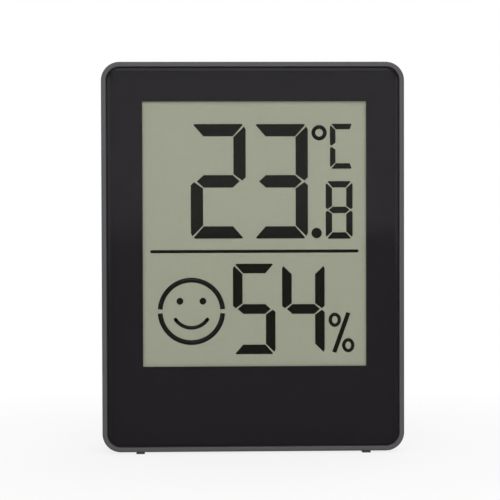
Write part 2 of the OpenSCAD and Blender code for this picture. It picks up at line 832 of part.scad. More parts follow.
// Sprung leaf from the board up to the negative cap
module negative_contact() {
    rise_x = -cap_r + leaf_foot;
    tip_x = rise_x + leaf_run;
    color(metal_color) translate([0, 0, door_mid_z - leaf_w / 2]) linear_extrude(leaf_w) polygon([
        [-cap_r, parts_y],
        [rise_x, parts_y],
        [tip_x, cell_y - leaf_t],
        [tip_x + leaf_tip, cell_y - leaf_t],
        [tip_x + leaf_tip, cell_y],
        [tip_x - leaf_t / 2, cell_y],
        [rise_x - leaf_t / 2, parts_y + leaf_t],
        [-cap_r, parts_y + leaf_t]
    ]);
}

// Shape of the stand's recess seen from the back
module recess_outline(grow) {
    half = recess_half + grow;
    for (s = SIDES) plate(2 * half, base_z, recess_top_z + grow, s * leg_x);
    plate(stand_w + 2 * stand_fit + 2 * grow, base_z, bar_top_z + stand_fit + grow);
}

// Rear shell: walls, battery bay, stand recess, keyhole room, posts, magnets' seats and the rear feet
module rear_case() {
    color(case_color) difference() {
        union() {
            swept_panel(body_w, body_h, corner_r, inner_back_y, back_y) polygon(concat(
                [
                    at(0, inner_back_y),
                    at(corner_r - wall_t, inner_back_y),
                    at(corner_r - wall_t, split_y - lip_l),
                    at(corner_r - wall_t + lip_t, split_y - lip_l),
                    at(corner_r - wall_t + lip_t, rear_split_y),
                    at(corner_r, rear_split_y)
                ],
                arc_at(corner_r - back_round, back_y - back_round, back_round, 0, 90),
                [at(0, back_y)]
            ));
            slab(bay_y, inner_back_y + EPS) disc(bay_r + bay_wall, 0, door_mid_z);
            slab(channel_y - bay_floor, inner_back_y + EPS) disc(flange_r, 0, door_mid_z);
            intersection() {
                slab(recess_y - recess_wall, inner_back_y + EPS) recess_outline(recess_wall);
                slab(recess_y - recess_wall, inner_back_y + EPS)
                    plate(body_w - wall_t, base_z + EPS, inner_top_z);
            }
            slab(pocket_y - pocket_wall, inner_back_y + EPS)
                plate(2 * pocket_outer, keyhole_z - pocket_outer, inner_top_z + EPS);
            for (s = SIDES) {
                slab(meet_y, inner_back_y + EPS) disc(head_hole_r + head_wall, s * screw_x, screw_z);
                slab(magnet_y - recess_wall, inner_back_y + EPS)
                    disc(magnet_hole_r + recess_wall, s * magnet_x, magnet_mid_z);
                foot(s * foot_x, recess_y - recess_wall - foot_l);
            }
        }
        slab(cell_y, back_y + EPS) disc(bay_r, 0, door_mid_z);
        slab(channel_y, back_y + EPS) disc(mouth_r, 0, door_mid_z);
        for (a = LUGS) {
            span = lug_angle + 2 * lug_spare;
            door_arc(bay_r, channel_r, channel_y, lip_y, a - span / 2 - door_turn, span + door_turn);
            door_arc(bay_r, channel_r, lip_y - EPS, back_y + EPS, a - span / 2 - door_turn, span);
        }
        slab(bay_y - EPS, cell_y + EPS)
            plate(cap_r, door_mid_z - leaf_half, door_mid_z + leaf_half, -cap_r / 2);
        slab(bay_y - EPS, cell_back_y)
            plate(2 * bay_wall + leaf_clear, door_mid_z - leaf_half, door_mid_z + leaf_half,
                bay_r + leaf_clear / 2);
        slab(recess_y, back_y + EPS) recess_outline(0);
        slab(recess_y, back_y + EPS) plate(stand_w + 2 * stand_fit, base_z - EPS, bar_top_z);
        for (s = SIDES) {
            cross_pin(pin_r + pin_fit, s * (leg_x - recess_half) - recess_wall - EPS,
                s * (leg_x - recess_half) + recess_wall + EPS, hinge_y, hinge_z);
            slab(meet_y - EPS, back_y + EPS) disc(case_screw_r + screw_fit, s * screw_x, screw_z);
            slab(head_y - case_head_h, back_y + EPS) disc(head_hole_r, s * screw_x, screw_z);
            slab(magnet_y, back_y + EPS) disc(magnet_hole_r, s * magnet_x, magnet_mid_z);
            translate([s * hook_x - hook_w / 2 - shell_fit, barb_y - shell_fit, inner_low_z - barb_h])
                cube([hook_w + 2 * shell_fit, barb_l + 2 * shell_fit, barb_h + EPS]);
        }
        slab(pocket_y, back_y + EPS) disc(keyhole_r, 0, keyhole_z);
        slab(pocket_y, back_y + EPS) plate(2 * slot_r, keyhole_z, keyhole_z + slot_rise);
        slab(pocket_y, back_y + EPS) disc(slot_r, 0, keyhole_z + slot_rise);
        slab(pocket_y, inner_back_y) plate(2 * pocket_half, keyhole_z - pocket_half, inner_top_z);
        slab(inner_back_y - EPS, back_y + EPS) disc(button_r + button_fit, button_x, button_z);
        for (i = [0 : vent_count - 1])
            slab(inner_back_y - EPS, back_y + EPS)
                plate(vent_w, vent_z - vent_l / 2, vent_z + vent_l / 2,
                    vent_x + (i - (vent_count - 1) / 2) * vent_pitch);
    }
}

// Twist door with its lugs and coin slot, shown locked
module battery_door() {
    color(case_color) difference() {
        union() {
            slab(door_y, door_face_y) disc(door_r, 0, door_mid_z);
            for (a = LUGS) door_arc(door_r - lug_reach, lug_r, door_y, lug_y, a - lug_angle / 2, lug_angle);
        }
        slab(door_face_y - coin_d, door_face_y + EPS) translate([0, door_mid_z]) {
            square([coin_l - coin_w, coin_w], center = true);
            for (s = SIDES) disc(coin_w / 2, s * (coin_l - coin_w) / 2, 0);
        }
    }
}

// U-shaped stand, folded: two legs with stub pins, a heel at each hinge and a notched cross bar
module stand() {
    inner_y = stand_y - stand_t;
    leg_inner_x = leg_x - leg_w / 2;
    color(case_color) difference() {
        union() {
            for (s = SIDES) {
                slab(inner_y, stand_y) plate(leg_w, bar_z, hinge_z, s * leg_x);
                cross_pin(stand_t / 2, s * leg_x - leg_w / 2, s * leg_x + leg_w / 2, hinge_y, hinge_z);
                slab(inner_y, hinge_y) plate(leg_w, hinge_z, hinge_z + heel_h, s * leg_x);
                cross_pin(pin_r, s * leg_inner_x - pin_l, s * leg_inner_x + pin_l, hinge_y, hinge_z);
            }
            slab(inner_y, stand_y) plate(stand_w, bar_z, bar_top_z);
        }
        slab(inner_y - EPS, stand_y + EPS) disc(notch_r, 0, bar_z + notch_d - notch_r);
    }
}

module magnets() {
    color(metal_color) for (s = SIDES)
        slab(magnet_y, magnet_y + magnet_t) disc(magnet_r, s * magnet_x, magnet_mid_z);
}

module case_screws() {
    color(metal_color) for (s = SIDES)
        pan_screw(s * screw_x, head_y - case_head_h, screw_z, case_screw_r,
            head_y - case_head_h - meet_y + case_screw_grip, case_head_r, case_head_h);
}

front_frame();
front_window();
window_mask();
window_tape();
lcd_front_polarizer();
lcd_front_glass();
lcd_rear_glass();
lcd_reflector();
zebra_connector();
lcd_cushion();
circuit_board();
board_screws();
controller_blob();
clock_crystal();
chip_components();
humidity_sensor();
thermistor();
tact_switch();
switch_stem();
unit_button();
coin_cell();
positive_contact();
negative_contact();
rear_case();
battery_door();
stand();
magnets();
case_screws();
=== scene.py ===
"""Looks of a small room thermometer and humidity meter with a fold-out stand.

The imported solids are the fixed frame. This script gives each solid its finish and
adds what is shown, printed or moulded on them: the lit marks of the display, the
grip ribs of the stand, the turning arrow of the battery door and the pad-printed
marks of the back. The frame is that of the solids: x to the right seen from the
front, -y out of the display, z up. Sizes of pieces are in millimetres until a mesh
is made. Sizes of finishes and of the studio are in metres, and colours are linear.
"""

import json
import logging
import math
from abc import ABC, abstractmethod
from dataclasses import dataclass, field
from enum import Enum
from functools import cache
from typing import Any, Self

import bmesh
import bpy
from mathutils import Matrix, Vector


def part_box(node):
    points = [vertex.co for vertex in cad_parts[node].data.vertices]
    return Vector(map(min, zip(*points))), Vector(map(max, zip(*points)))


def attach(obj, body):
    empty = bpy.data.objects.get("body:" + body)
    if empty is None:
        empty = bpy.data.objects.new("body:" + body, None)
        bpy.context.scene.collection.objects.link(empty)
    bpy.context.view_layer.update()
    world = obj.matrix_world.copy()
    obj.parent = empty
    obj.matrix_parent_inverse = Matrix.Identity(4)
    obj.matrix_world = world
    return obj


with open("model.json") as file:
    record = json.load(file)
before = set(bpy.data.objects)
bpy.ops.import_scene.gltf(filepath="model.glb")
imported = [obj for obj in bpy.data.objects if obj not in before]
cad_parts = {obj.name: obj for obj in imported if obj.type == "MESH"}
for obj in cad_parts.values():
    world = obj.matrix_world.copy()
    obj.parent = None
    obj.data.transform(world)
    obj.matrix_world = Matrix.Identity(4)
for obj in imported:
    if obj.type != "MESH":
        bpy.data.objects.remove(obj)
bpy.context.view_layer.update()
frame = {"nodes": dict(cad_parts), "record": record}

LOG = logging.getLogger("room_meter")
MM = 0.001  # a millimetre in metres
MERGE = 1e-7  # points closer than this are one, in metres
SUNK = 0.006  # how deep a mark sits in what carries it, in millimetres
UNIT = (0.0, 1.0)
FALLING = (1.0, 0.0)
WHITE = (1.0, 1.0, 1.0, 1.0)
SURFACE = "ShaderNodeBsdfPrincipled"

Colour = tuple[float, float, float]
Flat = tuple[float, float]
Sizes = tuple[float, ...]
Corners = list[Flat]
Material = bpy.types.Material
Mesh = bpy.types.Mesh
Node = bpy.types.Node
Socket = bpy.types.NodeSocket
Tree = bpy.types.NodeTree


class Slot(Enum):
    """The record's material slots."""

    CASE = "case_plastic"
    STAND = "stand_plastic"
    BUTTON = "button_plastic"
    WINDOW = "clear_acrylic"
    INK = "mask_ink"
    TAPE = "tape"
    FILM = "lcd_film"
    GLASS = "lcd_glass"
    REFLECTOR = "reflector_film"
    STRIP = "strip_rubber"
    BOARD = "board_laminate"
    SCREW = "screw_steel"
    CAN = "can_metal"
    CHIP = "chip_ceramic"
    EPOXY = "black_epoxy"
    WHITE = "white_plastic"
    CELL = "cell_can"
    CONTACT = "contact_metal"
    MAGNET = "magnet_nickel"


class Mark(Enum):
    """The marks that have a finish of their own."""

    LIT = "lit_mark"
    PRINT = "pad_print"


class Side(Enum):
    """The two sides that carry marks, each with the turn from a flat drawing to it."""

    FRONT = Matrix(((1, 0, 0, 0), (0, 0, -1, 0), (0, 1, 0, 0), (0, 0, 0, 1)))
    BACK = Matrix(((-1, 0, 0, 0), (0, 0, 1, 0), (0, 1, 0, 0), (0, 0, 0, 1)))


class Effect(Enum):
    """Surface effects that several finishes share: name, usual sizes and what they give."""

    GRAIN = ("spark_grain", {"Cell Size": 0.0002}, ("Height", "Tone"))
    RUB = ("edge_rub", {"Reach": 0.0002, "Break-up": 0.0015}, ("Mask",))
    HANDLING = ("handling_sheen", {"Patch Size": 0.008}, ("Sheen",))
    FLECK = ("film_fleck", {"Fleck Size": 0.0001, "Cloud Size": 0.01}, ("Fleck", "Cloud"))


def shade(colour: Colour, share: float) -> Colour:
    """Gives a colour made lighter or darker by a share."""
    return tuple(max(0.0, c * share) for c in colour)


def spread(colour: Colour, by: float) -> tuple[Colour, Colour]:
    """Gives a colour made darker and made lighter by the same share."""
    return shade(colour, 1 - by), shade(colour, 1 + by)


def polar(centre: Flat, radius: float, degrees: float) -> Flat:
    """Gives the point at a distance and an angle from a centre."""
    turn = math.radians(degrees)
    return centre[0] + radius * math.cos(turn), centre[1] + radius * math.sin(turn)


def box_mm(node: str) -> tuple[Vector, Vector]:
    """Gives a solid's lowest and highest corner in millimetres."""
    low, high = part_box(node)
    return low / MM, high / MM


def in_scene(name: str, data: Any) -> bpy.types.Object:
    """Puts a new object into the scene.

    Args:
        name: Its name.
        data: Its mesh, text, lamp or camera.

    Returns:
        The object.
    """
    made = bpy.data.objects.new(name, data)
    bpy.context.scene.collection.objects.link(made)
    return made


def plain_mesh(holder: bpy.types.Object) -> Mesh:
    """Turns an object into a plain mesh and takes the object away.

    Args:
        holder: A text, or a mesh with a modifier.

    Returns:
        The mesh as it shows.
    """
    bpy.context.view_layer.update()
    shown = holder.evaluated_get(bpy.context.evaluated_depsgraph_get())
    made = bpy.data.meshes.new_from_object(shown)
    holder.modifiers.clear()
    bpy.data.objects.remove(holder)
    return made


class Shared:
    """Something that is made once and then used by all."""

    @classmethod
    @cache
    def shared(cls) -> Self:
        """Gives the one of this kind, which is made the first time it is asked for."""
        return cls()


class Bench:
    """A node tree, with short ways to place its nodes and join them."""

    def __init__(self, tree: Tree) -> None:
        """Keeps the tree that the nodes go into."""
        self.tree = tree

    def port(self, way: str, name: str, kind: str) -> Any:
        """Gives a node group one more input or output."""
        return self.tree.interface.new_socket(name=name, in_out=way, socket_type=f"NodeSocket{kind}")

    def put(self, socket: Socket, value: Any) -> None:
        """Feeds an input.

        Args:
            socket: The input.
            value: An output to join to it, a node for its first output, or a plain value.
        """
        if isinstance(value, Node):
            value = value.outputs[0]
        if isinstance(value, Socket):
            self.tree.links.new(value, socket)
        else:
            socket.default_value = value

    def add(self, kind: str, inputs: dict[str | int, Any] | None = None, **settings: Any) -> Node:
        """Places one node.

        Args:
            kind: Blender's name of the node type.
            inputs: What feeds its inputs, by number or by the name of an input in use.
            settings: Node properties to set first, by name.

        Returns:
            The new node.
        """
        node = self.tree.nodes.new(kind)
        for name, value in settings.items():
            setattr(node, name, value)
        for key, value in (inputs or {}).items():
            named = (s for s in node.inputs if s.name == key and s.enabled)
            self.put(node.inputs[key] if isinstance(key, int) else next(named), value)
        return node

    def math(self, how: str, *values: Any) -> Socket:
        """Joins up to three values by one of Blender's operations."""
        return self.add("ShaderNodeMath", dict(enumerate(values)), operation=how).outputs[0]

    def mean(self, a: Socket, b: Socket) -> Socket:
        """Gives the mean of two values."""
        return self.math("MULTIPLY", self.math("ADD", a, b), 0.5)

    def remap(self, value: Socket, span: Flat, to: Flat = UNIT) -> Socket:
        """Stretches a value from one span to another and holds it there."""
        inputs = dict(enumerate((value, *span, *to)))
        return self.add("ShaderNodeMapRange", inputs, clamp=True).outputs[0]

    def blend(self, share: Socket, a: Any, b: Any) -> Socket:
        """Blends two colours, with that share of the second."""
        a, b = (c if isinstance(c, Socket) else (*c, 1.0) for c in (a, b))
        return self.add("ShaderNodeMix", {0: share, 6: a, 7: b}, data_type="RGBA").outputs[2]

    def noise(self, where: Socket, scale: Any, detail: float, roughness: float = 0.5) -> Socket:
        """Places soft noise, with its clouds per metre and its finer layers' number and strength."""
        inputs = {"Vector": where, "Scale": scale, "Detail": detail, "Roughness": roughness}
        return self.add("ShaderNodeTexNoise", inputs).outputs[0]

    def bump(self, height: Socket, depth: float) -> Socket:
        """Turns a height from 0 to 1 into a bumped normal of that depth."""
        return self.add("ShaderNodeBump", {"Strength": 1.0, "Distance": depth, "Height": height}).outputs[0]

    def plain_sight(self) -> Socket:
        """Finds the rays that look at the backdrop straight, mirrored or through glass.

        Returns:
            1 for such rays and 0 for the others.
        """
        rays = self.add("ShaderNodeLightPath").outputs
        seen = self.math("MAXIMUM", rays["Is Camera Ray"], rays["Is Glossy Ray"])
        return self.math("MAXIMUM", seen, rays["Is Transmission Ray"])


class EffectShelf(Shared):
    """The shared surface effects, each built once as a shader node group."""

    soft: Flat = (0.3, 0.7)  # the span that noise fills for the most part
    patches: Flat = (0.32, 0.68)  # the same for wide and small patches together
    small: float = 5.0  # small patches for each wide one
    pit_share: float = 0.35  # share of the pits in the grain's height, the rest being hills
    slow: float = 0.04  # slow changes of the grain's tone for each of its cells
    lean: Flat = (0.985, 0.80)  # cosine of an edge's lean where rubbing starts and is full
    breaks: Flat = (0.35, 0.65)  # span of the noise that breaks up a rubbed edge
    worn: Flat = (0.3, 1.0)  # how far the edge is rubbed at the ends of that span

    def __init__(self) -> None:
        """Builds the effects."""
        self.groups = {
            Effect.GRAIN: self._grain(),
            Effect.RUB: self._rub(),
            Effect.HANDLING: self._handling(),
            Effect.FLECK: self._fleck(),
        }

    @staticmethod
    def _open(effect: Effect) -> tuple[Bench, Any, Any]:
        """Starts a group that reads a place and some sizes.

        Args:
            effect: The effect that it makes.

        Returns:
            The group's bench, its input sockets and its output sockets.
        """
        name, sizes, gives = effect.value
        bench = Bench(bpy.data.node_groups.new(name, "ShaderNodeTree"))
        bench.port("INPUT", "Place", "Vector")
        for label, usual in sizes.items():
            bench.port("INPUT", label, "Float").default_value = usual
        for label in gives:
            bench.port("OUTPUT", label, "Float")
        return bench, bench.add("NodeGroupInput").outputs, bench.add("NodeGroupOutput").inputs

    def _grain(self) -> Tree:
        """Builds the fine pitted grain of a spark-eroded mould.

        Returns:
            The group, giving the grain's height and a slow change of tone.
        """
        bench, takes, gives = self._open(Effect.GRAIN)
        place, cells = takes["Place"], bench.math("DIVIDE", 1.0, takes["Cell Size"])
        hills = bench.noise(place, cells, detail=3.0, roughness=0.55)
        pits = bench.add("ShaderNodeTexVoronoi", {"Vector": place, "Scale": cells}).outputs["Distance"]
        shallow = bench.math("MULTIPLY", pits, self.pit_share)
        bench.put(gives["Height"], bench.math("MULTIPLY_ADD", hills, 1 - self.pit_share, shallow))
        slow = bench.noise(place, bench.math("MULTIPLY", cells, self.slow), detail=2.0)
        bench.put(gives["Tone"], bench.remap(bench.mean(slow, hills), self.soft))
        return bench.tree

    def _rub(self) -> Tree:
        """Builds the broken line along edges where hands have rubbed the surface.

        Returns:
            The group, giving the mask of the rubbed edges.
        """
        bench, takes, gives = self._open(Effect.RUB)
        rounded = bench.add("ShaderNodeBevel", {"Radius": takes["Reach"]}, samples=6)
        flat = bench.add("ShaderNodeNewGeometry").outputs["Normal"]
        turn = bench.add("ShaderNodeVectorMath", {0: rounded, 1: flat}, operation="DOT_PRODUCT")
        edge = bench.remap(turn.outputs["Value"], self.lean)
        cells = bench.math("DIVIDE", 1.0, takes["Break-up"])
        broken = bench.noise(takes["Place"], cells, detail=3.0, roughness=0.6)
        bench.put(gives["Mask"], bench.math("MULTIPLY", edge, bench.remap(broken, self.breaks, self.worn)))
        return bench.tree

    def _handling(self) -> Tree:
        """Builds the soft patches of more and less shine that handling leaves.

        Returns:
            The group, giving the sheen from 0 to 1.
        """
        bench, takes, gives = self._open(Effect.HANDLING)
        cells = bench.math("DIVIDE", 1.0, takes["Patch Size"])
        wide = bench.noise(takes["Place"], cells, detail=2.0)
        small = bench.noise(takes["Place"], bench.math("MULTIPLY", cells, self.small), detail=3.0)
        bench.put(gives["Sheen"], bench.remap(bench.mean(wide, small), self.patches))
        return bench.tree

    def _fleck(self) -> Tree:
        """Builds the fine flecks and slow clouds of films, inks and plating.

        Returns:
            The group, giving the flecks and the clouds from 0 to 1.
        """
        bench, takes, gives = self._open(Effect.FLECK)
        for name, detail in (("Fleck", 1.0), ("Cloud", 3.0)):
            cells = bench.math("DIVIDE", 1.0, takes[f"{name} Size"])
            bench.put(gives[name], bench.remap(bench.noise(takes["Place"], cells, detail), self.soft))
        return bench.tree


class Brush(Bench):
    """A material's bench, with the object coordinates and the shared effects at hand."""

    def __init__(self, made: Material) -> None:
        """Empties the material's tree.

        Args:
            made: The material.
        """
        made.use_nodes = True
        super().__init__(made.node_tree)
        self.tree.nodes.clear()
        self.where = self.add("ShaderNodeTexCoord").outputs["Object"]

    def effect(self, effect: Effect, sizes: dict[str, float] | None = None) -> Any:
        """Places an effect with sizes of its own and gives its outputs, to be read by name."""
        inputs, group = {"Place": self.where, **(sizes or {})}, EffectShelf.shared().groups[effect]
        return self.add("ShaderNodeGroup", inputs, node_tree=group).outputs


@dataclass(frozen=True)
class Finish(ABC):
    """One finish of the maker's list, with its main colour."""

    name: str
    colour: Colour

    def material(self) -> Material:
        """Makes the material.

        Returns:
            The new material.
        """
        made = bpy.data.materials.new(self.name)
        brush = Brush(made)
        brush.add("ShaderNodeOutputMaterial", {"Surface": self.paint(brush)})
        made.diffuse_color = (*self.colour, 1.0)
        return made

    @abstractmethod
    def paint(self, brush: Brush) -> Node:
        """Places the finish's nodes with a brush and gives its surface shader."""


@dataclass(frozen=True)
class MouldedPlastic(Finish):
    """A moulded or cast surface with a fine grain, slow sheen, rubbed edges and, where asked, a painted
    contact shadow on its feet.
    """

    roughness: float = 0.5
    sheen_spread: float = 0.06  # how far handling changes the roughness
    grain_size: float = 0.0002
    grain_depth: float = 0.00001
    tone_spread: float = 0.06  # how far the grain changes the colour
    rub_reach: float = 0.00018  # width of a rubbed edge
    rub_gain: float = 0.35  # how much lighter it is
    rub_polish: float = 0.12  # how much smoother it is
    shine: float = 0.5  # how much the surface mirrors, 0.5 being plain plastic
    foot_shadow_height: float = 0.0  # height over the floor up to which the feet get a painted contact shadow, or 0 for none
    foot_shadow_fade: float = 1.1  # where that painted shadow has faded out, as a share of that height
    foot_shadow_tone: float = 0.1  # tone of the painted shadow as a share of the main colour

    def paint(self, brush: Brush) -> Node:
        """Places the grain, the sheen, the rubbed edges and the feet's painted contact shadow.

        Args:
            brush: The material's brush.

        Returns:
            The surface shader.
        """
        grain = brush.effect(Effect.GRAIN, {"Cell Size": self.grain_size})
        sheen = brush.effect(Effect.HANDLING)["Sheen"]
        rub = brush.effect(Effect.RUB, {"Reach": self.rub_reach})["Mask"]
        skin = brush.blend(grain["Tone"], *spread(self.colour, self.tone_spread))
        skin = brush.blend(rub, skin, shade(self.colour, 1 + self.rub_gain))
        # painted contact shadow: the colour turns dark near the floor, on the feet, where shade falls under
        # the object
        if self.foot_shadow_height:
            height = brush.add("ShaderNodeSeparateXYZ", {0: brush.where}).outputs["Z"]
            contact_shadow = brush.remap(height, (self.foot_shadow_height, self.foot_shadow_height * self.foot_shadow_fade), FALLING)
            skin = brush.blend(contact_shadow, skin, shade(self.colour, self.foot_shadow_tone))
        dull = (self.roughness + self.sheen_spread, self.roughness - self.sheen_spread)
        polish = brush.math("MULTIPLY", rub, -self.rub_polish)
        return brush.add(SURFACE, {
            "Base Color": skin,
            "Specular IOR Level": self.shine,
            "Roughness": brush.math("ADD", brush.remap(sheen, UNIT, dull), polish),
            "Normal": brush.bump(grain["Height"], self.grain_depth),
        })


@dataclass(frozen=True)
class CoatedFilm(Finish):
    """A film, an ink or a print: flat, with fine flecks and slow clouds."""

    roughness: float = 0.5
    fleck_size: float = 0.00012
    fleck_spread: float = 0.05  # how far flecks change the colour
    cloud_spread: float = 0.02  # how far clouds change it
    cloud_shade: float = 0.4  # tone of a full cloud as a share of the main colour
    relief: float = 0.000002  # depth of the flecks
    shine: float = 0.5  # how much the surface mirrors, 0.5 being plain plastic
    dull_spread: float = 0.05  # how far clouds change the roughness

    def paint(self, brush: Brush) -> Node:
        """Places the flecks and the clouds.

        Args:
            brush: The material's brush.

        Returns:
            The surface shader.
        """
        marks = brush.effect(Effect.FLECK, {"Fleck Size": self.fleck_size})
        fine = brush.blend(marks["Fleck"], *spread(self.colour, self.fleck_spread))
        deep = brush.math("MULTIPLY", marks["Cloud"], self.cloud_spread)
        dull = (self.roughness - self.dull_spread, self.roughness + self.dull_spread)
        surface = {
            "Base Color": brush.blend(deep, fine, shade(self.colour, self.cloud_shade)),
            "Specular IOR Level": self.shine,
            "Roughness": brush.remap(marks["Cloud"], UNIT, dull),
        }
        if self.relief:
            surface["Normal"] = brush.bump(marks["Fleck"], self.relief)
        return brush.add(SURFACE, surface)


@dataclass(frozen=True)
class UnderPane(CoatedFilm):
    """A film or print that lies flat behind the window and carries its reflection."""

    roughness: float = 0.06
    relief: float = 0.0
    shine: float = 0.104
    dull_spread: float = 0.03


@dataclass(frozen=True)
class PlatedMetal(Finish):
    """Plated metal with slight clouds in its colour and shine."""

    roughness: float = 0.3
    dull_spread: Flat = (-0.06, 0.1)  # how far clouds change the roughness, down and up
    fleck_size: float = 0.00015
    grain_depth: float = 0.000002
    cloud_size: float = 0.002
    cloud_spread: float = 0.25  # how far clouds darken the colour
    rub_reach: float = 0.00015  # width of a rubbed edge
    rub_break: float = 0.0006  # length of a break in it
    rub_gain: float = 0.15  # how much lighter it is

    def paint(self, brush: Brush) -> Node:
        """Places the clouds, the grain and the rubbed edges.

        Args:
            brush: The material's brush.

        Returns:
            The surface shader.
        """
        marks = brush.effect(Effect.FLECK, {"Fleck Size": self.fleck_size, "Cloud Size": self.cloud_size})
        rub = brush.effect(Effect.RUB, {"Reach": self.rub_reach, "Break-up": self.rub_break})["Mask"]
        cloudy = brush.blend(marks["Cloud"], self.colour, shade(self.colour, 1 - self.cloud_spread))
        dull = tuple(self.roughness + change for change in self.dull_spread)
        return brush.add(SURFACE, {
            "Base Color": brush.blend(rub, cloudy, shade(self.colour, 1 + self.rub_gain)),
            "Metallic": 1.0,
            "Roughness": brush.remap(marks["Cloud"], UNIT, dull),
            "Normal": brush.bump(marks["Fleck"], self.grain_depth),
        })


@dataclass(frozen=True)
class ClearPane(Finish):
    """A hard-coated clear pane whose bevel shows the dark print behind it.

    Its flat face doesn't turn the light, so what lies behind it carries its reflection.
    """

    edge: Colour = (0.0108, 0.0088, 0.0113)  # the print seen through the bevel
    edge_gain: float = 0.2  # how much lighter that is where the pane was handled
    shine: float = 0.075  # how much the bevel mirrors, 0.5 being plain plastic
    sharpness: Flat = (0.06, 0.14)  # roughness where the pane is clean and where it was handled
    patch_size: float = 0.012  # size of a handled patch
    ripples: float = 90.0  # the moulding's faint ripples to the metre
    ripple_depth: float = 0.000004
    side: Flat = (0.10, 0.30)  # how squarely a face looks forward where walls end and the bevel starts
    flat: Flat = (0.990, 0.998)  # the same where the bevel ends and the flat face starts

    def paint(self, brush: Brush) -> Node:
        """Mixes the clear face and the bevel.

        Args:
            brush: The material's brush.

        Returns:
            The surface shader.
        """
        sheen = brush.effect(Effect.HANDLING, {"Patch Size": self.patch_size})["Sheen"]
        bevel = brush.add(SURFACE, {
            "Base Color": brush.blend(sheen, self.edge, shade(self.edge, 1 + self.edge_gain)),
            "Specular IOR Level": self.shine,
            "Roughness": brush.remap(sheen, UNIT, self.sharpness),
            "Normal": brush.bump(brush.noise(brush.where, self.ripples, detail=1.0), self.ripple_depth),
        })
        clear = brush.add("ShaderNodeBsdfTransparent", {"Color": (*self.colour, 1.0)})
        facing = brush.add("ShaderNodeSeparateXYZ", {0: brush.where.node.outputs["Normal"]})
        forward = brush.math("ABSOLUTE", facing.outputs["Y"])
        not_side, not_flat = brush.remap(forward, self.side), brush.remap(forward, self.flat, FALLING)
        outside = brush.math("SUBTRACT", 1.0, brush.add("ShaderNodeNewGeometry").outputs["Backfacing"])
        share = brush.math("MULTIPLY", brush.math("MULTIPLY", not_side, not_flat), outside)
        return brush.add("ShaderNodeMixShader", {0: share, 1: clear, 2: bevel})


@dataclass(frozen=True)
class GlassPlate(Finish):
    """The thin glass plates inside the display."""

    roughness: Flat = (0.02, 0.06)
    tint: float = 0.97  # tone where it was handled, as a share of the main colour
    bending: float = 1.52  # how strongly it bends light

    def paint(self, brush: Brush) -> Node:
        """Places clear glass with a trace of handling.

        Args:
            brush: The material's brush.

        Returns:
            The surface shader.
        """
        sheen = brush.effect(Effect.HANDLING)["Sheen"]
        return brush.add(SURFACE, {
            "Base Color": brush.blend(sheen, self.colour, shade(self.colour, self.tint)),
            "Roughness": brush.remap(sheen, UNIT, self.roughness),
            "IOR": self.bending,
            "Transmission Weight": 1.0,
        })


@dataclass(frozen=True)
class PaleFloor(Finish):
    """The pale floor, which keeps the shadow near the object and fades to white."""

    clouds: float = 30.0  # faint clouds to the metre
    cloud_spread: float = 0.01  # how far they change the colour
    fade: Flat = (0.02, 0.10)  # distance from the middle where the fading starts and ends
    white: Flat = (0.82, 1.0)  # share of plain white in what is seen there

    def paint(self, brush: Brush) -> Node:
        """Mixes the paper and the white.

        Args:
            brush: The material's brush.

        Returns:
            The surface shader.
        """
        clouds = brush.noise(brush.where, self.clouds, detail=2.0)
        tone = brush.blend(clouds, *spread(self.colour, self.cloud_spread))
        paper = brush.add("ShaderNodeBsdfDiffuse", {"Color": tone})
        white = brush.add("ShaderNodeEmission", {"Color": WHITE, "Strength": 1.0})
        far = brush.add("ShaderNodeVectorMath", {0: brush.where}, operation="LENGTH").outputs["Value"]
        share = brush.math("MULTIPLY", brush.remap(far, self.fade, self.white), brush.plain_sight())
        return brush.add("ShaderNodeMixShader", {0: share, 1: paper, 2: white})


